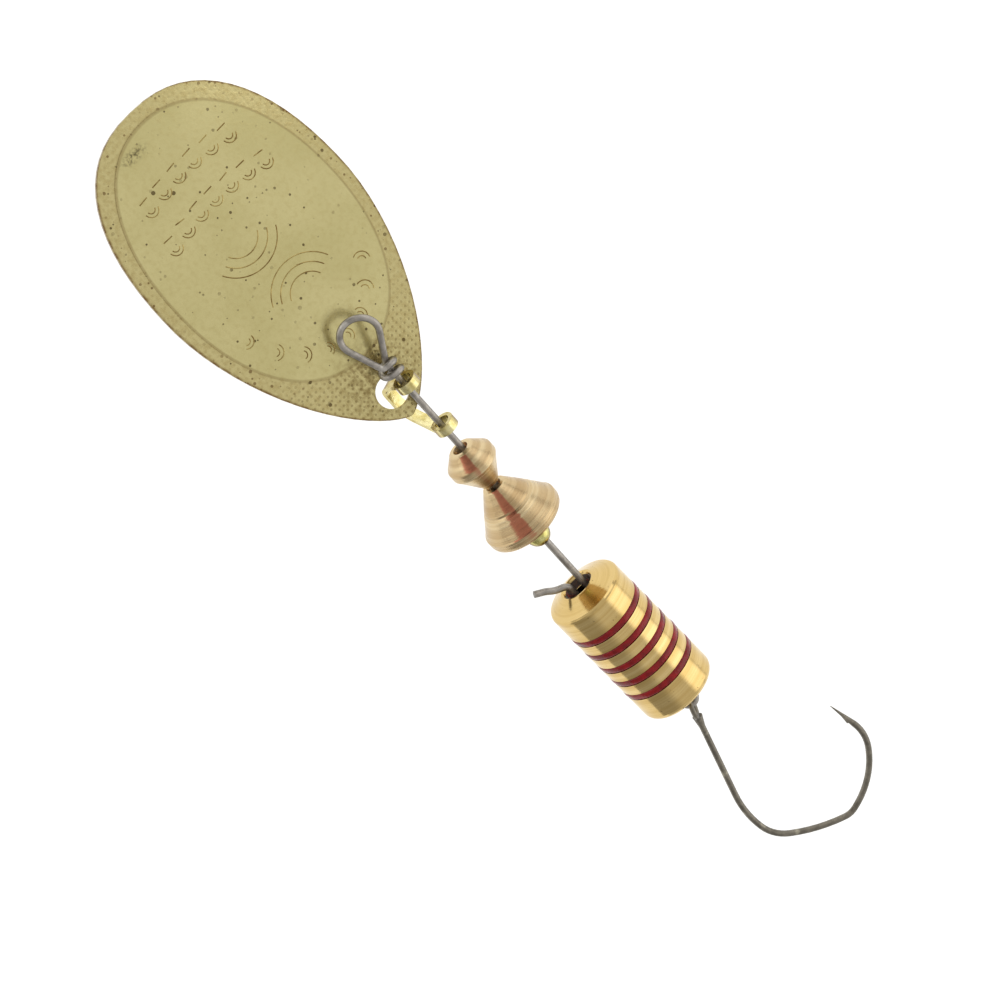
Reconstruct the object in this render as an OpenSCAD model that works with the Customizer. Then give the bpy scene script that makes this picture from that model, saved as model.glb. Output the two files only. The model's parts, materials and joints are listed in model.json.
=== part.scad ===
// Inline spinner: a fishing lure with a French blade and a single hook.
// Millimetres. The shaft wire lies along +X, from the line eye towards the hook, and +Z is up.
// The origin is the centre of the line eye.

/* [Wire] */

// Diameter of the shaft wire
wire_d = 0.52; // [0.48:0.01:0.52]

// Centre-line radius of the line eye
eye_r = 1.42; // [1.38:0.02:1.54]

// Length of the wire's tag outside the barrel's mouth
tag_len = 1.7; // [1.6:0.1:2.8]

/* [Blade] */

// Length of the blade
blade_len = 29.8; // [28:0.2:32]

// Width of the blade
blade_w = 17.3; // [15:0.1:18]

// Thickness of the blade's sheet
blade_t = 0.4; // [0.3:0.05:0.4]

// Radius of the sphere the blade is pressed on
blade_dome_r = 75; // [65:1:90]

// Height of the pressed step between the blade's rim and its inner oval
blade_step = 0.15; // [0.1:0.01:0.2]

/* [Beads and bell] */

// Largest diameter of the front bead
bead_d = 3.82; // [3.2:0.02:4]

// Rim diameter of the bell
bell_d = 6.16; // [5.6:0.02:6.2]

// Diameter of the ball bead
ball_d = 1.9; // [1.6:0.1:2]

/* [Barrel] */

// Diameter of the barrel
barrel_d = 6.04; // [5.6:0.02:6.2]

// Length of the barrel
barrel_len = 12; // [11.8:0.1:12.2]

// Depth of the barrel's grooves
groove_depth = 0.3; // [0.2:0.05:0.4]

/* [Hook] */

// Diameter of the hook's wire
hook_d = 0.46; // [0.4:0.02:0.5]

// Length of the hook's straight shank
shank_len = 7.1; // [6.5:0.1:9]

/* [Hidden] */

$fn = 64;
cut = 0.01;   // how far a cutting shape runs past what it cuts
film = 0.005; // hairline gap between a filler and the metal around it
lap = 0.02;   // how far a straight stretch runs into the bends at its ends
slim = 0.99;  // a straight is this much of a bend's thickness, so that the two join cleanly
link = 0.06;  // shortest straight between two bends

steel = [0.45, 0.45, 0.44];
pale_brass = [0.80, 0.76, 0.52];
olive_brass = [0.75, 0.71, 0.49];
pink_brass = [0.84, 0.74, 0.56];
yellow_brass = [0.80, 0.68, 0.38];
red_lacquer = [0.43, 0.04, 0.08];

// Line eye: the wire leaves the shaft, goes round the eye, crosses back over and wraps the shaft.
eye_lean = 15;                                   // turn of the eye's plane about the shaft
neck_x = 3.15;                                   // where the neck's two straights would meet
neck_r = 0.55;
neck_angle = asin(eye_r / neck_x);
cross_x = 3.65;                                  // where the returning strand crosses the shaft
cross_r = 0.36;
cross_angle = asin(eye_r / cross_x);
cross_tangent = cross_r * tan((90 - cross_angle) / 2);
neck_tangent = neck_r * tan(neck_angle / 2);
wrap_lift = wire_d + 0.10;                       // centre line of the wrap to the shaft's axis
wrap_step = 0.44;                                // advance of each half turn of the wrap
wrap_tilt = atan(wrap_step / (2 * wrap_lift));
wrap_r = norm([wrap_step, 2 * wrap_lift]) / 2;
wrap_tail_angle = 35;
eye_to_cross = eye_r + cross_x - cross_tangent / tan(cross_angle);
eye_twist = asin(wrap_lift / eye_to_cross);

// Barrel: its axis runs through the doubled wire and is a little off the shaft's.
barrel_x = 26.9;                                 // the mouth's plane
barrel_yaw = 2.15;
kink_r = 3;                                      // the shaft's slight bend at the mouth
strand_offset = 0.5;                             // each strand's centre line to the barrel's axis
bore_r = strand_offset + wire_d / 2 + 0.09;
mouth_r = 1.25;
mouth_depth = 0.75;
mouth_lip = 0.06;                                // rounding of the mouth's edge
mouth_land = 0.16;                               // width of the flat ring round the mouth
nose_len = 0.85;
groove_count = 5;
groove_w = 0.6;
groove_pitch = 1.51;
first_groove_x = 3.17;
band_sink = 0.07;                                // the lacquer stops this far below the barrel's surface
lacquer_t = 0.06;
lacquer_start = 0.2;                             // mouth's plane to the front of the lacquer inside it
rear_loop_x = barrel_len + 1.1;                  // centre of the wire's rear loop, behind the barrel

// Tag
tag_bend_r = 0.7;
tag_angle = 57;
tag_wave_r = 2;
tag_wave_angle = 12;
tag_bent_len = 1;                                // share of the tag's length that its bends take up

// Clevis: a collar at each end, joined by a bow.
clevis_roll = 35;                                // turn of the bow about the shaft, from straight down
collar_r = 0.9;
collar_hole_r = 0.58;
front_collar_x = 5.04;
rear_collar_x = 9.66;
collar_len = 0.76;
clevis_sag = 0.18;                               // the clevis rests on one side of its eyes
bow_w = 0.96;
bow_t = 0.3;
bow_depth = 2.45;                                // shaft's axis to the middle of the bow's strip
bow_front_x = 5.42;
bow_front_r = 0.7;
bow_leg_start = 0.75;
bow_run = 1.2;
bow_rise_r = 2.4;
bow_rise_angle = 40;
bow_slope_len = 1.7;

// Blade: folded forward, with its domed side towards the shaft.
blade_roll = 8;
blade_yaw = 1.9;
blade_pitch = 20;
blade_tip = [8.02, -0.93, -0.72];                // tip of the domed face, in the rolled frame
blade_hole_r = 1.26;
blade_hole_edge = 1.05;                          // tip to the near edge of the hole
blade_widest = 0.567;                            // share of the length from tip to widest place
blade_tip_power = 1.77;
blade_tip_round = 0.72;
blade_end_power = 2.39;
blade_slab = 20;                                 // height of the cutting prisms
oval_start = 5.6;
oval_rim = 1.0;
oval_power = 2.15;
oval_wall = 0.25;
outline_steps = 36;

// Turned parts on the shaft
bead_x = 12.29;
bell_x = 16.3;
ball_x = 21.65;
bead_sag = 0.13;                                 // the turned parts rest on one side of their bores
shaft_hole_r = wire_d / 2 + 0.18;
countersink_r = 0.62;
countersink_depth = 0.45;
edge_break = 0.08;                               // small chamfer on turned edges
bead_len = 3.68;
bead_cone_len = 1.02;                            // front face to the start of the widest belt
bead_belt_end = 1.7;
bead_tail_r = 0.68;
bell_front_r = 0.96;
bell_cone_len = 3.26;
bell_groove_x = 1.66;
bell_groove_half = 0.16;
bell_groove_sink = 0.1;
bell_belt_len = 0.45;
bell_back_len = 1.18;                            // rim's front edge to the bell's back face
bell_back_r = 0.7;

// Hook, laid out along +X from the centre of the wire's rear loop
hook_yaw = -16.6;
ring_wire_d = 0.38;
ring_r = 0.78;
ring_lean = 17;
ring_gap = 0.04;
ring_x = strand_offset - wire_d / 2 - ring_wire_d / 2 - ring_gap + ring_r;
flare_len = 0.9;
point_len = 2.4;
point_d = 0.05;
barb_x = 0.1;                                    // barb's root, off the point's axis towards the gape
barb_start = 0.45;
barb_len = 1.3;
barb_d = 0.36;
barb_tip_d = 0.1;
barb_lean = 6;

// ---- path helpers: each draws a stretch along local +Z and carries its children to the end ----

module section(flat, share = 1) {
    if (flat) square(share * [bow_t, bow_w], center = true);
    else circle(d = share * $strand_d);
}

module run(len, flat = false) {
    translate([0, 0, -lap]) linear_extrude(height = len + 2 * lap) section(flat, slim);
    translate([0, 0, len]) children();
}

// Turns towards local +X.
module turn(r, angle, flat = false) {
    translate([r, 0, 0]) rotate([90, 0, 180])
        rotate_extrude(angle = angle) translate([r, 0]) section(flat);
    translate([r * (1 - cos(angle)), 0, r * sin(angle)]) rotate([0, angle, 0]) children();
}

module roll(angle) {
    rotate([0, 0, angle]) children();
}

// ---- placing frames ----

module on_barrel_axis() {
    translate([barrel_x, -strand_offset, 0]) rotate([0, 0, barrel_yaw]) children();
}

// Turns a profile drawn as [distance along the axis, radius] about the X axis.
module lathe(profile) {
    rotate([0, 90, 0]) rotate_extrude() polygon([for (p = profile) [p[1], p[0]]]);
}

// ---- wire ----

module wrap_half_turn(extra = 0) {
    turn(wrap_r, 180 + extra) run(link) roll(-2 * wrap_tilt) children();
}

module line_eye() {
    neck_start = neck_x + neck_tangent;
    neck_straight = sqrt(neck_x * neck_x - eye_r * eye_r) - neck_tangent;
    back_straight = sqrt(cross_x * cross_x - eye_r * eye_r)
                    - cross_tangent / sin(cross_angle) - cross_tangent;
    translate([neck_start, 0, 0]) rotate([0, -90, 0])
        roll(90 - eye_lean)
        turn(neck_r, neck_angle) run(neck_straight)
        roll(180)
        turn(eye_r, 90 + neck_angle) run(link) roll(eye_twist) turn(eye_r, 90 + cross_angle)
        run(back_straight) turn(cross_r, 90 - cross_angle)
        roll(eye_twist - 90 - wrap_tilt)
        wrap_half_turn() wrap_half_turn() wrap_half_turn(wrap_tail_angle);
}

module rear_strands() {
    on_barrel_axis() translate([0, strand_offset, 0]) rotate([0, 90, 0])
        roll(-90)
        run(rear_loop_x) turn(strand_offset, 180) run(rear_loop_x)
        roll(180)
        turn(tag_bend_r, tag_angle + tag_wave_angle) run(link)
        roll(180)
        turn(tag_wave_r, 2 * tag_wave_angle) run(link)
        roll(180)
        turn(tag_wave_r, tag_wave_angle)
        run(tag_len - tag_bent_len);
}

module wire_shaft() {
    $strand_d = wire_d;
    neck_start = neck_x + neck_tangent;
    kink_half = kink_r * tan(barrel_yaw / 2);
    color(steel) {
        line_eye();
        translate([neck_start, 0, 0]) rotate([0, 90, 0]) roll(90)
            run(barrel_x - kink_half - neck_start) turn(kink_r, barrel_yaw);
        rear_strands();
    }
}

// ---- clevis ----

module collar(x) {
    translate([x, 0, 0]) rotate([0, 90, 0]) difference() {
        cylinder(h = collar_len, r = collar_r);
        translate([0, 0, -cut]) cylinder(h = collar_len + 2 * cut, r = collar_hole_r);
    }
}

module bow() {
    first_leg = bow_depth - bow_leg_start - bow_front_r;
    translate([bow_front_x, 0, -bow_leg_start]) rotate([180, 0, 0])
        run(first_leg, true) turn(bow_front_r, 90, true) run(bow_run, true)
        turn(bow_rise_r, bow_rise_angle, true) run(bow_slope_len, true);
}

module clevis() {
    color(pale_brass) translate([0, clevis_sag, 0]) rotate([-clevis_roll, 0, 0]) {
        collar(front_collar_x);
        collar(rear_collar_x);
        bow();
    }
}

// ---- blade, drawn with its tip at the origin, its length along +X and its domed side up ----

// Half width at a share of the length from the tip.
function egg_half(share) = share < blade_widest
    ? blade_w / 2 * pow(1 - pow(1 - share / blade_widest, blade_tip_power), blade_tip_round)
    : blade_w / 2 * pow(1 - pow((share - blade_widest) / (1 - blade_widest), blade_end_power),
                        1 / blade_end_power);

// Points crowd towards both ends, where the outline turns quickly.
egg_shares = [for (i = [0 : outline_steps]) (1 - cos(180 * i / outline_steps)) / 2];

module egg() {
    polygon(concat(
        [for (i = [0 : outline_steps]) [egg_shares[i] * blade_len, egg_half(egg_shares[i])]],
        [for (i = [outline_steps - 1 : -1 : 1]) [egg_shares[i] * blade_len, -egg_half(egg_shares[i])]]));
}

module oval(inset = 0) {
    half_l = (blade_len - oval_rim - oval_start) / 2 - inset;
    half_w = blade_w / 2 - oval_rim - inset;
    middle = (blade_len - oval_rim + oval_start) / 2;
    polygon([for (i = [0 : 2 * outline_steps - 1])
        let (a = 180 * i / outline_steps)
        [middle + half_l * sign(cos(a)) * pow(abs(cos(a)), 2 / oval_power),
         half_w * sign(sin(a)) * pow(abs(sin(a)), 2 / oval_power)]]);
}

// Ball that passes through the tip and the far end, raised or lowered by a given amount.
module dome(lift = 0) {
    translate([blade_len / 2, 0, -sqrt(pow(blade_dome_r, 2) - pow(blade_len / 2, 2))])
        rotate([90, 0, 0]) sphere(r = blade_dome_r + lift);
}

module prism() {
    translate([0, 0, -blade_slab / 2]) linear_extrude(height = blade_slab) children();
}

module blade_sheet() {
    difference() {
        union() {
            intersection() {
                dome();
                prism() egg();
            }
            intersection() {
                dome(blade_step);
                prism() oval();
            }
        }
        dome(-blade_t);
        intersection() {
            dome(blade_step - blade_t);
            prism() oval(oval_wall);
        }
        translate([blade_hole_edge + blade_hole_r, 0, -blade_slab / 2])
            cylinder(h = blade_slab, r = blade_hole_r);
    }
}

module blade() {
    color(olive_brass)
        rotate([-blade_roll, 0, 0]) translate(blade_tip) rotate([0, -blade_pitch, 0])
        rotate([0, 0, 180 - blade_yaw]) blade_sheet();
}

// ---- turned parts ----

module front_bead() {
    bead_r = bead_d / 2;
    face_r = 0.86;
    color(pink_brass) translate([bead_x, -bead_sag, 0]) lathe([
        [countersink_depth, shaft_hole_r],
        [0, countersink_r],
        [0, face_r],
        [edge_break, 1.02],
        [bead_cone_len, bead_r - 0.06],
        [bead_cone_len + 0.1, bead_r],
        [bead_belt_end, bead_r],
        [bead_belt_end + 0.12, bead_r - 0.08],
        [bead_len - 0.18, bead_tail_r + 0.12],
        [bead_len, bead_tail_r],
        [bead_len, shaft_hole_r]]);
}

module bell() {
    rim_r = bell_d / 2;
    slope = (rim_r - bell_front_r) / bell_cone_len;
    groove_start = bell_groove_x - bell_groove_half;
    groove_end = bell_groove_x + bell_groove_half;
    color(pink_brass) translate([bell_x, -bead_sag, 0]) lathe([
        [countersink_depth, shaft_hole_r],
        [0, countersink_r],
        [0, bell_front_r - edge_break],
        [edge_break, bell_front_r],
        [groove_start, bell_front_r + slope * groove_start],
        [bell_groove_x, bell_front_r + slope * bell_groove_x - bell_groove_sink],
        [groove_end, bell_front_r + slope * groove_end],
        [bell_cone_len - edge_break, rim_r - edge_break],
        [bell_cone_len, rim_r],
        [bell_cone_len + bell_belt_len, rim_r],
        [bell_cone_len + 0.66, rim_r - 0.06],
        [bell_cone_len + 0.82, rim_r - 0.2],
        [bell_cone_len + 0.92, rim_r - 0.42],
        [bell_cone_len + bell_back_len - edge_break, 1.2],
        [bell_cone_len + bell_back_len, bell_back_r],
        [bell_cone_len + bell_back_len, shaft_hole_r]]);
}

module ball_bead() {
    color(yellow_brass) translate([ball_x, -bead_sag, 0]) rotate([0, 90, 0]) difference() {
        sphere(d = ball_d);
        translate([0, 0, -ball_d]) cylinder(h = 2 * ball_d, r = shaft_hole_r);
    }
}

// ---- barrel and lacquer ----

module groove_ring(i, inner, outer, width) {
    middle = first_groove_x + i * groove_pitch;
    translate([middle - width / 2, 0, 0]) rotate([0, 90, 0]) difference() {
        cylinder(h = width, r = outer);
        translate([0, 0, -cut]) cylinder(h = width + 2 * cut, r = inner);
    }
}

module barrel() {
    r = barrel_d / 2;
    color(yellow_brass) on_barrel_axis() difference() {
        lathe([
            [mouth_depth, bore_r],
            [mouth_lip, mouth_r],
            [0, mouth_r + mouth_lip],
            [0, mouth_r + mouth_land],
            [edge_break, mouth_r + mouth_land + 0.14],
            [nose_len - 0.12, r - 0.12],
            [nose_len, r - 0.03],
            [nose_len + 0.12, r],
            [barrel_len - 0.5, r],
            [barrel_len - 0.3, r - 0.05],
            [barrel_len - 0.12, r - 0.18],
            [barrel_len, r - 0.42],
            [barrel_len, mouth_r],
            [barrel_len - mouth_depth, bore_r]]);
        for (i = [0 : groove_count - 1])
            groove_ring(i, r - groove_depth, 2 * r, groove_w);
    }
}

module enamel_band(i) {
    r = barrel_d / 2;
    color(red_lacquer) on_barrel_axis()
        groove_ring(i, r - groove_depth + film, r - band_sink, groove_w - 2 * film);
}

// Thin film on the countersink, just inside the mouth.
module mouth_lacquer() {
    sink_slope = (mouth_r - bore_r) / (mouth_depth - mouth_lip);
    film_end = mouth_depth - mouth_lip;
    start_r = mouth_r - sink_slope * (lacquer_start - mouth_lip) - film;
    end_r = mouth_r - sink_slope * (film_end - mouth_lip) - film;
    color(red_lacquer) on_barrel_axis() lathe([
        [lacquer_start, start_r],
        [film_end, end_r],
        [film_end, end_r - lacquer_t],
        [lacquer_start, start_r - lacquer_t]]);
}

// ---- hook ----

module hook_ring() {
    translate([ring_x, 0, 0]) rotate([ring_lean - 90, 0, 0]) rotate_extrude()
        translate([ring_r, 0]) circle(d = ring_wire_d);
}

module hook_point() {
    cylinder(h = point_len, d1 = hook_d, d2 = point_d);
    translate([barb_x, 0, barb_start]) rotate([0, -barb_lean, 0])
        cylinder(h = barb_len, d1 = barb_d, d2 = barb_tip_d);
}

// Bends of the hook, each [radius, angle]
hook_bends = [[8, 24], [3.2, 42.5], [12.5, 19], [1.5, 36.5], [6.3, 42.3], [3.3, 40]];

module hook_path(i = 0) {
    if (i < len(hook_bends)) turn(hook_bends[i][0], hook_bends[i][1]) run(link) hook_path(i + 1);
    else hook_point();
}

module hook() {
    $strand_d = hook_d;
    color(steel) on_barrel_axis() translate([rear_loop_x, 0, 0]) rotate([0, 0, hook_yaw]) {
        hook_ring();
        translate([ring_x + ring_r, 0, 0]) rotate([0, 90, 0]) {
            cylinder(h = flare_len, d1 = 2 * ring_wire_d, d2 = hook_d);
            roll(90) run(shank_len) hook_path();
        }
    }
}

wire_shaft();
clevis();
blade();
front_bead();
bell();
ball_bead();
barrel();
enamel_band(0);  // enamel_band_1
enamel_band(1);  // enamel_band_2
enamel_band(2);  // enamel_band_3
enamel_band(3);  // enamel_band_4
enamel_band(4);  // enamel_band_5
mouth_lacquer();
hook();
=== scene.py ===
"""Looks of the inline spinner: procedural metals and lacquer, stamped marks, studio and camera."""
import json
import math
import random

import bpy
from mathutils import Matrix, Vector
from mathutils.bvhtree import BVHTree


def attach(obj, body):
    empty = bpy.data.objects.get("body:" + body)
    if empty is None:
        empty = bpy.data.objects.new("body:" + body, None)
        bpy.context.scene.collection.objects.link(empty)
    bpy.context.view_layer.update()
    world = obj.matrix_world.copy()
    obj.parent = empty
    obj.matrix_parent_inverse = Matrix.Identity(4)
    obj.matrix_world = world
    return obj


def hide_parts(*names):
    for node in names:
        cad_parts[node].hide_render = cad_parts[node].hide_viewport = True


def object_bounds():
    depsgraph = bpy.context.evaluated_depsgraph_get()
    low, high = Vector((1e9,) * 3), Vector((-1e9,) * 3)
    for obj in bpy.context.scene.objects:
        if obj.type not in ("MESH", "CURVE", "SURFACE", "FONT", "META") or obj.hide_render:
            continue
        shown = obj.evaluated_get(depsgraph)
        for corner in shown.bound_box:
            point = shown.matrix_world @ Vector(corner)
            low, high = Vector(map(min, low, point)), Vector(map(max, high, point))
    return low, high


MM = 0.001

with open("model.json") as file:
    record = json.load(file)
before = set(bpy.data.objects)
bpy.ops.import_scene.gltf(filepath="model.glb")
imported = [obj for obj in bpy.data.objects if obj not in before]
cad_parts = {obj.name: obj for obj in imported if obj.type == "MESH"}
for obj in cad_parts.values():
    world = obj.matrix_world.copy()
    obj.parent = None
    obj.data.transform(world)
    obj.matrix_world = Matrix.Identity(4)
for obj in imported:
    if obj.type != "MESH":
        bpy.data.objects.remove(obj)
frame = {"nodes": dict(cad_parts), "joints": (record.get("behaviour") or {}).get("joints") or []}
cad_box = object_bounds()
nodes = frame["nodes"]
joints = {j["name"]: j for j in frame["joints"]}


# ---- colours, as screen values from 0 to 255 ----

SHAFT_STEEL = (178, 172, 164)
SHAFT_WORN = (212, 208, 200)
HOOK_STEEL = (136, 130, 118)
HOOK_WORN = (192, 186, 166)
CLEVIS_LIGHT = (232, 222, 168)
CLEVIS_DEEP = (206, 190, 122)
BALL_LIGHT = (222, 216, 150)
BALL_DEEP = (196, 186, 110)
STRIP_EDGE_SHADE = (112, 80, 34)
PINK_LIGHT = (226, 206, 164)
PINK_DEEP = (184, 156, 114)
PINK_STAIN = (104, 66, 38)
BARREL_LIGHT = (232, 206, 146)
BARREL_DEEP = (200, 168, 102)
BARREL_STAIN = (96, 62, 30)
REFLECTION_RED = (176, 104, 80)
LACQUER_DEEP = (112, 10, 14)
LACQUER_RED = (150, 18, 22)
LACQUER_SHADE = (78, 6, 10)
MOUTH_RED = (128, 12, 16)
MOUTH_SHADE_BLACK = (30, 18, 12)
MOUTH_SHADE_BROWN = (74, 50, 32)
BLADE_DEEP = (216, 205, 145)
BLADE_LIGHT = (227, 216, 157)
BLADE_TARNISH = (190, 172, 112)
RIM_LIGHT = (220, 206, 148)
RIM_DEEP = (200, 182, 124)
STEP_SHADE_BROWN = (128, 100, 52)
DOT_BROWN = (120, 98, 52)
PIT_BROWN = (84, 62, 32)
SPECK_BROWN = (112, 78, 38)
DARK_REFLECTION_BLACK = (66, 52, 30)
HOLE_SHADE_BROWN = (110, 84, 40)
BORDER_BROWN = (118, 82, 40)
CUT_BROWN = (104, 74, 34)
MARK_LIGHT = (186, 166, 106)
MARK_DEEP = (128, 100, 54)


# ---- shader helpers ----

RAMP_ENDS = ("From Min", "From Max", "To Min", "To Max")
SCREEN_MAX = 255
SCREEN_DARK = 10             # screen values up to this one follow a straight line


class Shader:
    """A node material built by small calls. Coordinates are millimetres in the row frame at rest."""

    def __init__(self, name):
        self.material = bpy.data.materials.new(name)
        self.material.use_nodes = True
        self.tree = self.material.node_tree
        self.bsdf = self.tree.nodes["Principled BSDF"]
        coords = self.tree.nodes.new("ShaderNodeTexCoord")
        self.position = self.vector("SCALE", coords.outputs["Object"], scale=1 / MM)
        self.geometry = self.tree.nodes.new("ShaderNodeNewGeometry").outputs

    def link(self, value, socket):
        if isinstance(value, bpy.types.NodeSocket):
            self.tree.links.new(value, socket)
        elif value is not None:
            socket.default_value = value

    def math(self, operation, a, b=None, c=None):
        node = self.tree.nodes.new("ShaderNodeMath")
        node.operation = operation
        for value, socket in zip((a, b, c), node.inputs):
            self.link(value, socket)
        return node.outputs[0]

    def plus(self, a, b):
        return self.math("ADD", a, b)

    def minus(self, a, b):
        return self.math("SUBTRACT", a, b)

    def times(self, a, b):
        return self.math("MULTIPLY", a, b)

    def over(self, a, b):
        return self.math("DIVIDE", a, b)

    def power(self, a, b):
        return self.math("POWER", a, b)

    def size(self, a):
        return self.math("ABSOLUTE", a)

    def vector(self, operation, a, b=None, scale=None):
        node = self.tree.nodes.new("ShaderNodeVectorMath")
        node.operation = operation
        self.link(a, node.inputs[0])
        self.link(b, node.inputs[1])
        if scale is not None:
            self.link(scale, node.inputs["Scale"])
        return node.outputs["Value"] if operation in ("DOT_PRODUCT", "LENGTH") else node.outputs["Vector"]

    def combine(self, x, y, z):
        node = self.tree.nodes.new("ShaderNodeCombineXYZ")
        for value, socket in zip((x, y, z), node.inputs):
            self.link(value, socket)
        return node.outputs[0]

    def noise(self, scale, detail=3, roughness=0.55, coords=None):
        """Cloudy values near 0.5. The scale is how many waves there are in a millimetre."""
        node = self.tree.nodes.new("ShaderNodeTexNoise")
        self.link(self.position if coords is None else coords, node.inputs["Vector"])
        node.inputs["Scale"].default_value = scale
        node.inputs["Detail"].default_value = detail
        node.inputs["Roughness"].default_value = roughness
        return node.outputs["Fac"]

    def cells(self, scale, randomness=1, coords=None):
        """Distance to the nearest cell centre, in cells, and a random colour for each cell."""
        node = self.tree.nodes.new("ShaderNodeTexVoronoi")
        self.link(self.position if coords is None else coords, node.inputs["Vector"])
        node.inputs["Scale"].default_value = scale
        node.inputs["Randomness"].default_value = randomness
        return node.outputs["Distance"], node.outputs["Color"]

    def step(self, value, low, high, to_low=0.0, to_high=1.0):
        """A soft step from to_low at low, to to_high at high. Low may be above high."""
        node = self.tree.nodes.new("ShaderNodeMapRange")
        node.interpolation_type = "SMOOTHSTEP"
        self.link(value, node.inputs["Value"])
        for socket, number in zip(RAMP_ENDS, (low, high, to_low, to_high)):
            self.link(number, node.inputs[socket])
        return node.outputs["Result"]

    def mix(self, factor, a, b):
        node = self.tree.nodes.new("ShaderNodeMix")
        node.data_type = "RGBA"
        self.link(factor, node.inputs["Factor"])
        for value, socket in ((a, node.inputs["A"]), (b, node.inputs["B"])):
            self.link(rgba(value) if isinstance(value, tuple) else value, socket)
        return node.outputs["Result"]

    def paint(self, color, cover, mask, strength):
        """Covers a colour with another where the mask is 1, by the strength."""
        return self.mix(self.times(mask, strength), color, cover)

    def bump(self, height, distance, strength, normal=None):
        """Distance is the height of one unit, in millimetres."""
        node = self.tree.nodes.new("ShaderNodeBump")
        self.link(height, node.inputs["Height"])
        node.inputs["Distance"].default_value = distance * MM
        node.inputs["Strength"].default_value = strength
        self.link(normal, node.inputs["Normal"])
        return node.outputs["Normal"]

    def grazing(self, start, end):
        """1 where the surface turns away from the viewer, and 0 where it faces the viewer."""
        facing = self.vector("DOT_PRODUCT", self.geometry["Incoming"], self.geometry["Normal"])
        return self.step(self.size(facing), start, end)

    def finish(self, color, metallic, roughness, normal, coat=0.0):
        self.link(color, self.bsdf.inputs["Base Color"])
        self.link(metallic, self.bsdf.inputs["Metallic"])
        self.link(roughness, self.bsdf.inputs["Roughness"])
        self.link(normal, self.bsdf.inputs["Normal"])
        self.bsdf.inputs["Coat Weight"].default_value = coat
        return self.material


def linear(value):
    """Linear share from one screen value, by the usual screen curve."""
    share = value / SCREEN_MAX
    return ((share + 0.055) / 1.055) ** 2.4 if value > SCREEN_DARK else share / 12.92


def rgba(color):
    return (*[linear(value) for value in color], 1.0)


def darker(color, share):
    return tuple(c * share for c in color)


def dress(material, *names):
    """Gives a CAD node's mesh one material."""
    for name in names:
        mesh = nodes[name].data
        mesh.materials.clear()
        mesh.materials.append(material)


# ---- steel ----

def wire_steel(name, base, worn_color, seed):
    """Dull drawn wire: mottled, with painted shade at its sides, pale worn spots and fine pits."""
    s = Shader(name)
    place = s.vector("ADD", s.position, (seed, seed, seed))
    mottle = s.noise(1.6, detail=4, roughness=0.6, coords=place)
    grain = s.noise(14, detail=3, roughness=0.7, coords=place)
    pits = s.noise(40, detail=2, roughness=0.6, coords=place)
    worn = s.step(s.noise(0.9, detail=2, roughness=0.5, coords=place), low=0.60, high=0.70)
    color = s.mix(s.step(mottle, low=0.3, high=0.7), darker(base, 0.8), base)
    color = s.paint(color, worn_color, worn, strength=0.55)
    color = s.mix(s.step(grain, low=0.58, high=0.75, to_high=0.35), color, darker(base, 0.5))
    # painted shade: the wire is darkened where its surface turns away from the viewer
    color = s.paint(color, darker(base, 0.42), s.grazing(0.62, 0.15), strength=0.75)
    rough = s.step(mottle, low=0.2, high=0.8, to_low=0.27, to_high=0.42)
    height = s.plus(s.times(grain, 0.6), pits)
    return s.finish(color, 0.9, rough, s.bump(height, distance=0.012, strength=0.8))


# ---- brass ----

# A painted warm reflection on the bead and the bell, of a card that is not in the scene. Low and high are
# where its sides lie along "across".
PAINTED_REFLECTION_CARD = {"toward": (-0.479, -0.1, 0.878), "across": (0.0, 1.0, 0.0), "low": -0.74, "high": 0.03,
             "low_softness": 0.16, "high_softness": 0.12, "ripple": 0.6, "strength": 0.9}


def painted_reflection_mask(s, card, ripple):
    """1 where the surface would mirror a card that stands in one direction, with a rippled edge: the mask of
    a painted reflection.
    """
    outgoing = s.vector("SCALE", s.geometry["Incoming"], scale=-1.0)
    mirrored = s.vector("REFLECT", outgoing, s.geometry["Normal"])
    side = s.vector("DOT_PRODUCT", mirrored, tuple(Vector(card["across"]).normalized()))
    front = s.vector("DOT_PRODUCT", mirrored, tuple(Vector(card["toward"]).normalized()))
    side = s.plus(side, s.math("MULTIPLY_ADD", ripple, card["ripple"], -card["ripple"] / 2))
    past_low = s.step(side, card["low"], card["low"] + card["low_softness"])
    before_high = s.step(side, card["high"], card["high"] - card["high_softness"])
    ahead = s.step(front, low=0.45, high=0.6)
    return s.times(s.times(s.times(past_low, before_high), ahead), card["strength"])


def distance_along(s, origin, axis):
    """Distance from a plane through the origin, along an axis, in millimetres."""
    offset = s.vector("SUBTRACT", s.position, tuple(Vector(origin) / MM))
    return s.vector("DOT_PRODUCT", offset, tuple(Vector(axis).normalized()))


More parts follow.
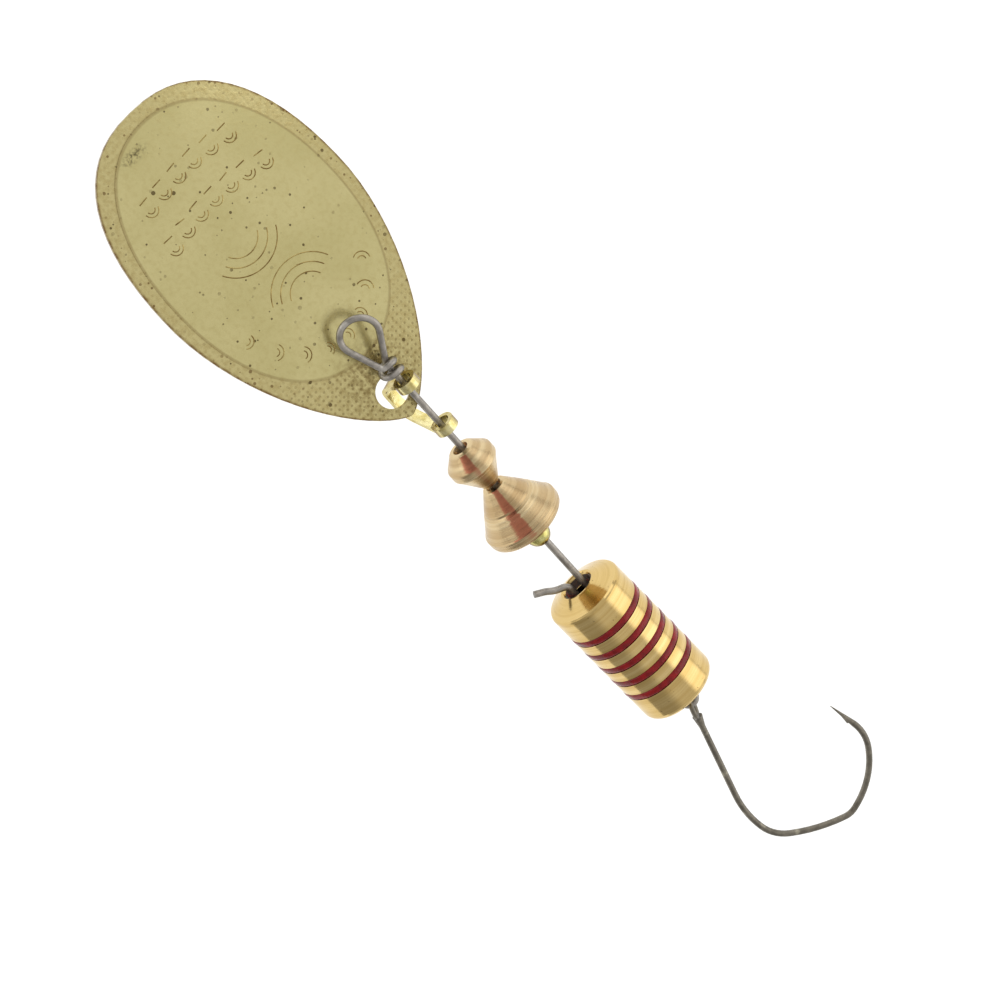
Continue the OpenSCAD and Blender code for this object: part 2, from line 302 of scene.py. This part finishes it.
def turned_brass(name, light, deep, stain, origin, axis, card, ring_scale, rough, marks):
    """Lathe-turned brass: fine rings about an axis, streaks, small brown stains and a painted warm
    reflection.
    """
    s = Shader(name)
    distance = distance_along(s, origin, axis)
    rings = s.noise(ring_scale, detail=6, roughness=0.75, coords=s.combine(distance, 0.0, 0.0))
    wide = s.noise(ring_scale * 0.28, detail=3, roughness=0.5, coords=s.combine(distance, 3.0, 0.0))
    streaks = s.plus(s.times(wide, 0.6), s.times(rings, 0.4))
    color = s.mix(s.step(streaks, low=0.35, high=0.68), deep, light)
    drift = s.noise(0.5, detail=2, roughness=0.5)
    color = s.mix(s.step(drift, low=0.45, high=0.8, to_high=0.3), color, deep)
    spots, _ = s.cells(1.5)
    specks = s.step(spots, low=0.10, high=0.04)
    chosen = s.step(s.noise(0.9, detail=2), low=0.47, high=0.6)
    color = s.mix(s.times(specks, s.times(chosen, 0.85)), color, stain)
    blots = s.noise(2.6, detail=3, roughness=0.6)
    color = s.mix(s.step(blots, low=0.66, high=0.78, to_high=0.45), color, stain)
    # painted reflection: warm red where the surface would mirror the card
    if card is not None:
        color = s.mix(painted_reflection_mask(s, card, rings), color, REFLECTION_RED)
    roughness = s.step(rings, low=0.3, high=0.75, to_low=rough * 0.75, to_high=rough * 1.5)
    normal = s.bump(rings, distance=marks, strength=0.9)
    normal = s.bump(wide, distance=marks * 1.6, strength=0.8, normal=normal)
    return s.finish(color, 1.0, roughness, normal)


def polished_brass(name, light, deep, rough):
    """Bright strip brass with soft waves, a few fine scratches and painted brown shade at its sides."""
    s = Shader(name)
    waves = s.noise(1.8, detail=2, roughness=0.5)
    scratch_stretch = (0.15, 1.0, 1.0)
    scratch = s.noise(22, detail=4, roughness=0.7, coords=s.vector("MULTIPLY", s.position, scratch_stretch))
    stains = s.step(s.noise(4, detail=3, roughness=0.6), low=0.62, high=0.76, to_high=0.4)
    color = s.mix(s.step(waves, low=0.3, high=0.7), deep, light)
    color = s.mix(stains, color, darker(deep, 0.55))
    # painted shade: brown where the strip turns away from the viewer
    color = s.paint(color, STRIP_EDGE_SHADE, s.grazing(0.60, 0.25), strength=0.85)
    roughness = s.step(scratch, low=0.3, high=0.8, to_low=rough, to_high=rough * 1.9)
    normal = s.bump(waves, distance=0.05, strength=0.6)
    normal = s.bump(scratch, distance=0.006, strength=0.7, normal=normal)
    return s.finish(color, 1.0, roughness, normal)


# ---- lacquer materials ----

def red_lacquer():
    """Glossy dark red lacquer, thicker and thinner round each band."""
    s = Shader("red_lacquer")
    flow = s.noise(1.3, detail=3, roughness=0.55)
    shade = s.step(s.noise(9, detail=3, roughness=0.6), low=0.6, high=0.78, to_high=0.5)
    color = s.mix(s.step(flow, low=0.3, high=0.7), LACQUER_DEEP, LACQUER_RED)
    color = s.mix(shade, color, LACQUER_SHADE)
    rough = s.step(flow, low=0.3, high=0.7, to_low=0.12, to_high=0.24)
    normal = s.bump(s.noise(5, detail=2), distance=0.03, strength=0.8)
    s.bsdf.inputs["Specular IOR Level"].default_value = 0.25
    return s.finish(color, 0.0, rough, normal, coat=0.12)


def mouth_film():
    """Lacquer that ran into the mouth: red in patches, with painted dark shade of the bore between them."""
    s = Shader("mouth_lacquer")
    patch = s.step(s.noise(0.8, detail=3, roughness=0.6), low=0.46, high=0.56)
    bore_mottle = s.noise(5, detail=3, roughness=0.6)
    # painted shade: the bore is darkened black and brown between the red patches
    bore_shade = s.mix(s.step(bore_mottle, low=0.3, high=0.7), MOUTH_SHADE_BLACK, MOUTH_SHADE_BROWN)
    color = s.mix(patch, bore_shade, MOUTH_RED)
    rough = s.step(bore_mottle, low=0.3, high=0.7, to_low=0.25, to_high=0.6)
    return s.finish(color, 0.0, rough, s.bump(bore_mottle, distance=0.02, strength=0.8))


# ---- blade material ----

# Lengths on the blade in millimetres: first along it from its tip, then sideways.
BLADE_RIM = 1.0              # width of the rim outside the pressed oval
BLADE_OVAL_START = 5.6       # from the tip to the pressed oval
OVAL_POWER = 2.15            # 2 gives an ellipse, and more gives fuller corners
BLADE_WIDEST = 0.567         # share of the length from tip to widest place
FRONT_POWER = 1.77           # shape of the outline from the tip to the widest place
FRONT_ROOT = 0.72
BACK_POWER = 2.39            # shape of the outline past the widest place
HOLE_PLACE = (3.6, 0.0, 0.0)
DARK_REFLECTION_PLACE = (27.5, 2.1, 0.0)
DARK_REFLECTION_STRETCH = (1.5, 0.62, 0.0)
DOTS_PER_MM = 2.35
DOT_SHIFT = (0.2, 0.1, 0.0)
NO_SHIFT = (0.0, 0.0, 0.0)
SMALL_PIT_SHIFT = (31.0, 17.0, 0.0)
SPECK_SHIFT = (7.0, 53.0, 0.0)


def blade_frame():
    """Tip, lengthwise, sideways and outward (shaft side) directions of the blade, from its mesh."""
    points = [v.co.copy() for v in nodes["blade"].data.vertices]
    front = max(points, key=lambda p: p.x)
    far = max(points, key=lambda p: (p - front).length)
    tip = max(points, key=lambda p: (p - far).length)
    lengthwise = (far - tip).normalized()
    hinge = Vector(joints["blade_swing"]["axis"])
    side = (hinge - lengthwise * hinge.dot(lengthwise)).normalized()
    spread = [(p - tip).dot(side) for p in points]
    left = points[spread.index(min(spread))]
    right = points[spread.index(max(spread))]
    side = ((right - left) - lengthwise * (right - left).dot(lengthwise)).normalized()
    out = lengthwise.cross(side).normalized()
    if out.z < 0:
        out = -out
        side = -side
    return {"tip": tip, "u": lengthwise, "v": side, "w": out, "length": (far - tip).length / MM,
            "half_width": (right - left).dot(side) / MM / 2}


blade = blade_frame()


def oval_reach(s, u, v):
    """1 on the edge of the pressed oval, less inside it and more outside it."""
    half_length = (blade["length"] - BLADE_RIM - BLADE_OVAL_START) / 2
    half_width = blade["half_width"] - BLADE_RIM
    middle = (blade["length"] - BLADE_RIM + BLADE_OVAL_START) / 2
    lengthwise = s.size(s.over(s.minus(u, middle), half_length))
    sideways = s.size(s.over(v, half_width))
    return s.power(s.plus(s.power(lengthwise, OVAL_POWER), s.power(sideways, OVAL_POWER)), 1 / OVAL_POWER)


def distance_inward(s, u, v):
    """Distance from the blade's egg-shaped outline, inward, in millimetres."""
    share = s.over(u, blade["length"])
    before = s.math("MAXIMUM", s.minus(1.0, s.over(share, BLADE_WIDEST)), 0.0)
    front = s.power(s.minus(1.0, s.power(before, FRONT_POWER)), FRONT_ROOT)
    past = s.math("MAXIMUM", s.over(s.minus(share, BLADE_WIDEST), 1 - BLADE_WIDEST), 0.0)
    back = s.power(s.minus(1.0, s.power(past, BACK_POWER)), 1 / BACK_POWER)
    outline = s.times(s.math("MINIMUM", front, back), blade["half_width"])
    return s.minus(outline, s.size(v))


def rim_dots(s, flat, rim, near_tip):
    """Dots pressed in a square grid, strong near the tip and faint round the rim."""
    grid, _ = s.cells(DOTS_PER_MM, randomness=0.0, coords=s.vector("ADD", flat, DOT_SHIFT))
    dots = s.step(grid, low=0.30, high=0.16)
    return s.times(dots, s.times(rim, s.plus(s.times(near_tip, 0.75), 0.25)))


def pit_mask(s, flat, shift, per_mm, largest, skipped):
    """Round pits of many sizes, in clusters. The largest radius is in cells. A share of cells is skipped."""
    moved = s.vector("ADD", flat, shift)
    distance, random_color = s.cells(per_mm, coords=moved)
    separate = s.tree.nodes.new("ShaderNodeSeparateColor")
    s.link(random_color, separate.inputs[0])
    chosen = s.step(separate.outputs[0], skipped, skipped + 0.02)
    cluster = s.step(s.noise(0.22, detail=2, roughness=0.5, coords=moved), low=0.42, high=0.56)
    inside = s.math("LESS_THAN", distance, s.times(separate.outputs[1], largest))
    return s.times(inside, s.times(chosen, s.plus(s.times(cluster, 0.7), 0.3)))


def dark_reflection_mask(s, flat):
    """One dark painted reflection at the inside of the rim, near the far end."""
    place = s.vector("MULTIPLY", s.vector("SUBTRACT", flat, DARK_REFLECTION_PLACE), DARK_REFLECTION_STRETCH)
    spread = s.step(s.vector("LENGTH", place), low=1.0, high=0.1, to_high=0.75)
    return s.times(spread, s.step(s.noise(3.5, detail=4, roughness=0.7, coords=flat), low=0.42, high=0.62))


def hole_shade_mask(s, flat, fine):
    """Painted brown shade that fades out round the hole, where the wire's eye lies over the blade."""
    place = s.vector("SUBTRACT", flat, HOLE_PLACE)
    spread = s.step(s.vector("LENGTH", place), low=4.5, high=0.8, to_high=0.6)
    return s.times(spread, s.step(fine, low=0.3, high=0.7))


def border_mask(s, u, v, flat):
    """A worn brown border just inside the outline."""
    border = s.step(distance_inward(s, u, v), low=0.24, high=0.03)
    worn = s.noise(1.6, detail=4, roughness=0.7, coords=flat)
    return s.times(border, s.step(worn, low=0.38, high=0.62, to_low=0.35, to_high=0.9))


def cut_mask(s):
    """The sheet's cut edge, which stands square to its faces."""
    tilt = s.vector("DOT_PRODUCT", s.geometry["Normal"], tuple(blade["w"]))
    uneven = s.step(s.noise(6, detail=3, roughness=0.7), low=0.35, high=0.65, to_low=0.35, to_high=0.8)
    return s.times(s.step(s.size(tilt), low=0.55, high=0.35), uneven)


def blade_satin():
    """Satin olive gold, with a dot-textured rim, fine pits, painted brown shade near the hole, a painted
    dark reflection near the far end and a dark edge.
    """
    s = Shader("blade_brass")
    offset = s.vector("SUBTRACT", s.position, tuple(blade["tip"] / MM))
    u = s.vector("DOT_PRODUCT", offset, tuple(blade["u"]))
    v = s.vector("DOT_PRODUCT", offset, tuple(blade["v"]))
    flat = s.combine(u, v, 0.0)
    reach = oval_reach(s, u, v)
    rim = s.step(reach, low=0.985, high=1.005)
    near_tip = s.step(u, low=9.5, high=4.5)
    cloud = s.noise(0.16, detail=3, roughness=0.5, coords=flat)
    fine = s.noise(2.4, detail=5, roughness=0.6, coords=flat)
    color = s.mix(s.step(cloud, low=0.3, high=0.7), BLADE_DEEP, BLADE_LIGHT)
    color = s.mix(s.step(fine, low=0.4, high=0.75, to_high=0.3), color, BLADE_TARNISH)
    rim_color = s.mix(s.step(fine, low=0.35, high=0.7), RIM_LIGHT, RIM_DEEP)
    color = s.paint(color, rim_color, rim, strength=0.75)
    # a thin brown line of painted shade where the sheet steps
    line = s.times(s.step(reach, low=0.975, high=0.99), s.step(reach, low=1.012, high=0.997))
    color = s.paint(color, STEP_SHADE_BROWN, line, strength=0.35)
    dots = rim_dots(s, flat, rim, near_tip)
    color = s.paint(color, DOT_BROWN, dots, strength=0.42)
    large_pits = pit_mask(s, flat, NO_SHIFT, per_mm=1.0, largest=0.17, skipped=0.38)
    small_pits = pit_mask(s, flat, SMALL_PIT_SHIFT, per_mm=2.0, largest=0.26, skipped=0.42)
    pits = s.math("MAXIMUM", large_pits, small_pits)
    color = s.paint(color, PIT_BROWN, pits, strength=0.8)
    # small brown specks on the rim, fewer near the tip
    specks = pit_mask(s, flat, SPECK_SHIFT, per_mm=2.6, largest=0.34, skipped=0.30)
    speck_share = s.times(rim, s.math("MULTIPLY_ADD", near_tip, -0.6, 0.7))
    color = s.mix(s.times(specks, speck_share), color, SPECK_BROWN)
    # painted reflection: one dark patch near the far end
    color = s.mix(dark_reflection_mask(s, flat), color, DARK_REFLECTION_BLACK)
    # painted shade round the hole
    color = s.mix(hole_shade_mask(s, flat, fine), color, HOLE_SHADE_BROWN)
    color = s.mix(border_mask(s, u, v, flat), color, BORDER_BROWN)
    color = s.mix(cut_mask(s), color, CUT_BROWN)
    rough = s.plus(s.step(fine, low=0.3, high=0.8, to_low=0.18, to_high=0.28), s.times(rim, 0.03))
    height = s.minus(s.times(fine, 0.35), s.times(pits, 1.2))
    height = s.minus(height, s.times(dots, 0.3))
    return s.finish(color, 1.0, rough, s.bump(height, distance=0.035, strength=0.8))


# ---- dress the CAD nodes ----

WIRE_SEED = 3.0
HOOK_SEED = 11.0
SHAFT_START = (0, 0, 0)
SHAFT_AXIS = (1, 0, 0)
barrel_joint = joints["barrel_spin"]
lacquer = red_lacquer()
bands = ["enamel_band_%d" % i for i in range(1, 6)]

dress(wire_steel("steel_wire", SHAFT_STEEL, SHAFT_WORN, WIRE_SEED), "wire_shaft")
dress(wire_steel("hook_steel", HOOK_STEEL, HOOK_WORN, HOOK_SEED), "hook")
dress(polished_brass("pale_brass", CLEVIS_LIGHT, CLEVIS_DEEP, rough=0.16), "clevis")
dress(polished_brass("green_brass", BALL_LIGHT, BALL_DEEP, rough=0.18), "ball_bead")
dress(turned_brass("pink_brass", PINK_LIGHT, PINK_DEEP, PINK_STAIN, SHAFT_START, SHAFT_AXIS, PAINTED_REFLECTION_CARD,
                   ring_scale=5.0, rough=0.22, marks=0.05), "front_bead", "bell")
dress(turned_brass("barrel_brass", BARREL_LIGHT, BARREL_DEEP, BARREL_STAIN, barrel_joint["pos_m"],
                   barrel_joint["axis"], None, ring_scale=6.0, rough=0.12, marks=0.007), "barrel")
dress(blade_satin(), "blade")
dress(lacquer, *bands)
dress(mouth_film(), "mouth_lacquer")


# ---- generic marks pressed into the blade ----

MARK_RADIUS = 0.06 * MM
MARK_SINK = 0.034 * MM
MARK_SEED = 5
CAST_HEIGHT = 6 * MM         # where a ray to the blade's face starts
ARC_STEP = 12                # radius in millimetres times degrees, for one step of an arc
ARC_STEPS_MIN = 6
DASH_STEPS = 4

NEST_RADII = (3.0, 2.3, 1.6)
NEST_FRONT = {"place": (11.6, -0.4), "sweep": (-66, 66)}
NEST_BACK = {"place": (18.4, 0.8), "sweep": (118, 242)}
SCALLOP_ROWS = ((24.4, 6, 1.55), (21.4, 7, 1.5))      # distance from the tip, count and pitch
SCALLOP_RADII = (0.62, 0.34)
SCALLOP_SWEEP = (100, 250)
SCALLOP_SQUEEZE = 0.9
SCALLOP_SAG = 0.03
SCALLOP_DASH = 0.8
SCALLOP_DASH_AHEAD = 0.75
SCALLOP_DASH_TILT = 8
CRESCENTS = 8
CRESCENT_START = 118         # degrees round the ring of crescents
CRESCENT_PITCH = 16
CRESCENT_RING = (9.0, 6.1)
CRESCENT_MIDDLE = 16.6
CRESCENT_SIZES = (0.5, 0.7)
CRESCENT_SWEEP = (20, 160)   # degrees from the way the crescent faces


def curve_object(name, lines, radius, material):
    """Thin round lines through lists of points, in metres."""
    curve = bpy.data.curves.new(name, "CURVE")
    curve.dimensions = "3D"
    curve.bevel_depth = radius
    curve.bevel_resolution = 1
    for points in lines:
        spline = curve.splines.new("POLY")
        spline.points.add(len(points) - 1)
        for target, point in zip(spline.points, points):
            target.co = (*point, 1.0)
    curve.materials.append(material)
    obj = bpy.data.objects.new(name, curve)
    bpy.context.scene.collection.objects.link(obj)
    return obj


def arc(u, v, radius, start, end, squeeze=1.0):
    """Points of an arc in the blade's own plane, in millimetres and degrees."""
    count = max(ARC_STEPS_MIN, int(radius * abs(end - start) / ARC_STEP))
    angles = [math.radians(start + (end - start) * i / count) for i in range(count + 1)]
    return [(u + radius * math.cos(a), v + squeeze * radius * math.sin(a)) for a in angles]


def dash(u, v, length, angle):
    """Points of a short straight line about a middle."""
    a = math.radians(angle)
    offsets = [length * (i / DASH_STEPS - 0.5) for i in range(DASH_STEPS + 1)]
    return [(u + o * math.cos(a), v + o * math.sin(a)) for o in offsets]


def nested_arcs():
    """Two groups of nested arcs that face each other in the middle of the blade."""
    lines = []
    for radius in NEST_RADII:
        for nest in (NEST_FRONT, NEST_BACK):
            lines.append(arc(*nest["place"], radius, *nest["sweep"]))
    return lines


def scallop_rows(rng):
    """Rows of double scallops, each with a short dash ahead of it."""
    lines = []
    for row_u, count, pitch in SCALLOP_ROWS:
        for i in range(count):
            v = (i - (count - 1) / 2) * pitch
            sag = SCALLOP_SAG * v * v
            for radius in SCALLOP_RADII:
                lines.append(arc(row_u - sag, v, radius, *SCALLOP_SWEEP, squeeze=SCALLOP_SQUEEZE))
            tilt = rng.uniform(-SCALLOP_DASH_TILT, SCALLOP_DASH_TILT)
            lines.append(dash(row_u + SCALLOP_DASH_AHEAD - sag, v, SCALLOP_DASH, 90 + tilt))
    return lines


def crescent_ring(rng):
    """Part of a ring of small double crescents."""
    lines = []
    for i in range(CRESCENTS):
        around = CRESCENT_START + i * CRESCENT_PITCH
        a = math.radians(around)
        u = CRESCENT_MIDDLE + CRESCENT_RING[0] * math.cos(a)
        v = CRESCENT_RING[1] * math.sin(a)
        size = rng.uniform(*CRESCENT_SIZES)
        start, end = (around + angle for angle in CRESCENT_SWEEP)
        for radius in (size, size / 2):
            lines.append(arc(u, v, radius, start, end))
    return lines


def mark_material():
    """Brownish worn lines, darker in places."""
    s = Shader("blade_mark_brass")
    fade = s.noise(0.8, detail=3, roughness=0.6)
    color = s.mix(s.step(fade, low=0.35, high=0.65), MARK_LIGHT, MARK_DEEP)
    rough = s.step(fade, low=0.3, high=0.7, to_low=0.3, to_high=0.45)
    grain = s.noise(12, detail=3, roughness=0.6)
    return s.finish(color, 1.0, rough, s.bump(grain, distance=0.02, strength=0.7))


def press_marks():
    """Lays the pattern on the blade's outer face, partly sunk into it."""
    rng = random.Random(MARK_SEED)
    mesh = nodes["blade"].data
    tree = BVHTree.FromPolygons([v.co for v in mesh.vertices], [p.vertices for p in mesh.polygons])
    placed = []
    for line in nested_arcs() + scallop_rows(rng) + crescent_ring(rng):
        points = []
        for u, v in line:
            start = blade["tip"] + (blade["u"] * u + blade["v"] * v) * MM + blade["w"] * CAST_HEIGHT
            hit = tree.ray_cast(start, -blade["w"])[0]
            if hit is not None:
                points.append(hit - blade["w"] * MARK_SINK)
        if len(points) > 2:
            placed.append(points)
    return curve_object("blade_marks", placed, MARK_RADIUS, mark_material())


marks = press_marks()
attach(marks, "blade_body")


# ---- lacquer in the barrel's grooves ----

LACQUER_OVERLAP = 0.05       # how far it runs past the groove's sides, as a share of half its width
LACQUER_DOME = 0.05 * MM
LACQUER_LIP = 0.05 * MM
LACQUER_LIP_POWER = 8        # a higher power gives a squarer lip
LACQUER_EDGE_WAVE = 0.10     # waves of the ring's width, as a share of half its width
LACQUER_SHIFT_WAVE = 0.06    # waves of the ring's place, as a share of half its width
LACQUER_DOME_WAVE = 0.5      # waves of the dome's height, as a share of it
LACQUER_SEED = 20
WAVES = 7
WAVE_COUNTS = (2, 17)        # fewest and most waves round a ring
WAVE_SIZES = (0.2, 1.0)
RING_AROUND = 128
RING_ACROSS = 8


def random_wave(rng):
    """How many times a wave goes round the ring, its phase and its size."""
    return rng.randint(*WAVE_COUNTS), rng.uniform(0, math.tau), rng.uniform(*WAVE_SIZES)


def wave_sum(waves, wave, angle, sign):
    """The mean of several waves at one angle round the ring."""
    return sum(size * wave(count * angle + sign * phase) for count, phase, size in waves) / len(waves)


def ring_faces():
    """Faces of a closed ring of strips, from the order in which its points are made."""
    faces = []
    row = RING_ACROSS + 1
    for i in range(RING_AROUND):
        for j in range(RING_ACROSS):
            a = i * row + j
            b = (i + 1) % RING_AROUND * row + j
            faces.append((a, b, b + 1, a + 1))
    return faces


def lacquer_ring(band_name, index):
    """A slightly domed ring with wavy edges that fills one groove and wets its edges."""
    rng = random.Random(LACQUER_SEED + index)
    axis = Vector(barrel_joint["axis"]).normalized()
    origin = Vector(barrel_joint["pos_m"])
    offsets = [v.co - origin for v in nodes[band_name].data.vertices]
    places = [offset.dot(axis) for offset in offsets]
    radii = [(offset - axis * offset.dot(axis)).length for offset in offsets]
    middle = (min(places) + max(places)) / 2
    half = (max(places) - min(places)) / 2
    side = axis.orthogonal().normalized()
    up = axis.cross(side)
    waves = [random_wave(rng) for _ in range(WAVES)]
    verts = []
    for i in range(RING_AROUND):
        a = math.tau * i / RING_AROUND
        wave = wave_sum(waves, math.sin, a, 1)
        shift = LACQUER_SHIFT_WAVE * half * wave_sum(waves, math.cos, a, -1)
        reach = half * (1 + LACQUER_OVERLAP + LACQUER_EDGE_WAVE * wave)
        out = side * math.cos(a) + up * math.sin(a)
        for j in range(RING_ACROSS + 1):
            t = 2 * j / RING_ACROSS - 1
            dome = LACQUER_DOME * (1 - t * t) * (1 + LACQUER_DOME_WAVE * wave)
            lip = LACQUER_LIP * (1 - t ** LACQUER_LIP_POWER)
            level = min(radii) if j in (0, RING_ACROSS) else max(radii) + dome + lip
            verts.append(origin + axis * (middle + t * reach + shift) + out * level)
    mesh = bpy.data.meshes.new("lacquer_%d" % index)
    mesh.from_pydata(verts, [], ring_faces())
    mesh.materials.append(lacquer)
    for polygon in mesh.polygons:
        polygon.use_smooth = True
    mesh.update()
    ring = bpy.data.objects.new("lacquer_%d" % index, mesh)
    bpy.context.scene.collection.objects.link(ring)
    return ring


for index, band_name in enumerate(bands, 1):
    ring = lacquer_ring(band_name, index)
    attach(ring, "barrel_body")
    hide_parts(band_name)


# ---- studio ----

VIEW_RIGHT = Vector((0.589, 0.741, 0.321))
VIEW_UP = Vector((-0.651, 0.671, -0.355))
VIEW_BACK = Vector((-0.479, 0.0, 0.878))      # from the object to the camera
LOOK_AT = Vector((17.59, -0.5, 0.0)) * MM
FIELD = 71.5 * MM            # width of the picture at the object
CAMERA_DISTANCE = 3000 * MM
CAMERA_CLIP = 0.01
SENSOR_WIDTH = 36

KEY_DIRECTION = VIEW_BACK * 0.7 + VIEW_UP * 0.7 + VIEW_RIGHT * 0.3
FILL_DIRECTION = VIEW_BACK * 0.5 - VIEW_RIGHT

WORLD_COLOR = (1, 0.985, 0.96, 1)
SURROUNDINGS_LEVEL = 0.69
# Soft lobes of the surroundings: direction, where the lobe starts and ends (cosine), and its strength.
SURROUNDINGS = [
    ((0.45, 0.75, 0.45), 0.86, 0.97, 1.0),
    ((0.40, -0.80, 0.40), 0.70, 0.97, -0.30),
    ((-0.95, -0.10, 0.15), 0.88, 0.97, -0.60),
    ((0.10, -0.25, 0.95), 0.96, 0.99, -0.12),
]

FLOOR_GAP = 32 * MM          # leaves room for the blade to swing down
FLOOR_HALF_WIDTH = 2.5
FLOOR_COLOR = (0.75, 0.75, 0.74, 1)
FLOOR_ROUGHNESS = 0.9
FLOOR_GLOW = 0.55
WHITE = (1, 1, 1, 1)


def add_camera():
    """A camera at the photograph's angle, far enough away that lines stay nearly parallel."""
    data = bpy.data.cameras.new("camera")
    data.sensor_width = SENSOR_WIDTH
    data.lens = data.sensor_width * CAMERA_DISTANCE / FIELD
    data.clip_start = CAMERA_CLIP
    camera = bpy.data.objects.new("camera", data)
    bpy.context.scene.collection.objects.link(camera)
    back = VIEW_BACK.normalized()
    up = VIEW_UP.normalized()
    up = (up - back * up.dot(back)).normalized()
    right = up.cross(back)
    turn = Matrix((right, up, back)).transposed().to_4x4()
    camera.matrix_world = Matrix.Translation(LOOK_AT + back * CAMERA_DISTANCE) @ turn
    bpy.context.scene.camera = camera


def add_light(name, direction, distance, size, power):
    """A round area light that faces the object."""
    data = bpy.data.lights.new(name, "AREA")
    data.shape = "DISK"
    data.size = size
    data.energy = power
    light = bpy.data.objects.new(name, data)
    bpy.context.scene.collection.objects.link(light)
    direction = Vector(direction).normalized()
    light.location = LOOK_AT + direction * distance
    light.rotation_euler = direction.to_track_quat("Z", "Y").to_euler()


def add_lobe(tree, coords, lobe, total):
    """Adds one soft lobe to the strength of the surroundings, and returns the new total."""
    direction, start, end, strength = lobe
    dot = tree.nodes.new("ShaderNodeVectorMath")
    dot.operation = "DOT_PRODUCT"
    dot.inputs[1].default_value = tuple(Vector(direction).normalized())
    tree.links.new(coords.outputs["Generated"], dot.inputs[0])
    ramp = tree.nodes.new("ShaderNodeMapRange")
    ramp.interpolation_type = "SMOOTHSTEP"
    for socket, value in zip(RAMP_ENDS, (start, end, 0.0, strength)):
        ramp.inputs[socket].default_value = value
    tree.links.new(dot.outputs["Value"], ramp.inputs["Value"])
    add = tree.nodes.new("ShaderNodeMath")
    tree.links.new(ramp.outputs["Result"], add.inputs[0])
    tree.links.new(total, add.inputs[1])
    return add.outputs[0]


def add_world():
    """Grey surroundings with one bright lobe and three darker ones, all soft edged."""
    world = bpy.data.worlds.new("studio")
    bpy.context.scene.world = world
    world.use_nodes = True
    tree = world.node_tree
    coords = tree.nodes.new("ShaderNodeTexCoord")
    level = tree.nodes.new("ShaderNodeValue")
    level.outputs[0].default_value = SURROUNDINGS_LEVEL
    total = level.outputs[0]
    for lobe in SURROUNDINGS:
        total = add_lobe(tree, coords, lobe, total)
    background = tree.nodes["Background"]
    tree.links.new(total, background.inputs["Strength"])
    background.inputs["Color"].default_value = WORLD_COLOR


def add_floor():
    """A pale floor below the object, bright enough to stay white."""
    low, _ = cad_box
    height = low[2] - FLOOR_GAP
    sides = ((-1, -1), (1, -1), (1, 1), (-1, 1))
    corners = [(x * FLOOR_HALF_WIDTH, y * FLOOR_HALF_WIDTH, height) for x, y in sides]
    mesh = bpy.data.meshes.new("floor")
    mesh.from_pydata(corners, [], [(0, 1, 2, 3)])
    floor = bpy.data.objects.new("floor", mesh)
    bpy.context.scene.collection.objects.link(floor)
    material = bpy.data.materials.new("floor")
    material.use_nodes = True
    bsdf = material.node_tree.nodes["Principled BSDF"]
    bsdf.inputs["Base Color"].default_value = FLOOR_COLOR
    bsdf.inputs["Roughness"].default_value = FLOOR_ROUGHNESS
    bsdf.inputs["Emission Color"].default_value = WHITE
    bsdf.inputs["Emission Strength"].default_value = FLOOR_GLOW
    mesh.materials.append(material)


def studio():
    """Camera, surroundings, floor and lights. Distances and sizes are in metres, and powers in watts."""
    add_camera()
    add_world()
    add_floor()
    add_light("key", KEY_DIRECTION, distance=0.6, size=0.45, power=0.4)
    add_light("fill", FILL_DIRECTION, distance=0.7, size=0.4, power=0.35)
    view = bpy.context.scene.view_settings
    view.view_transform = "Standard"
    view.look = "None"


studio()
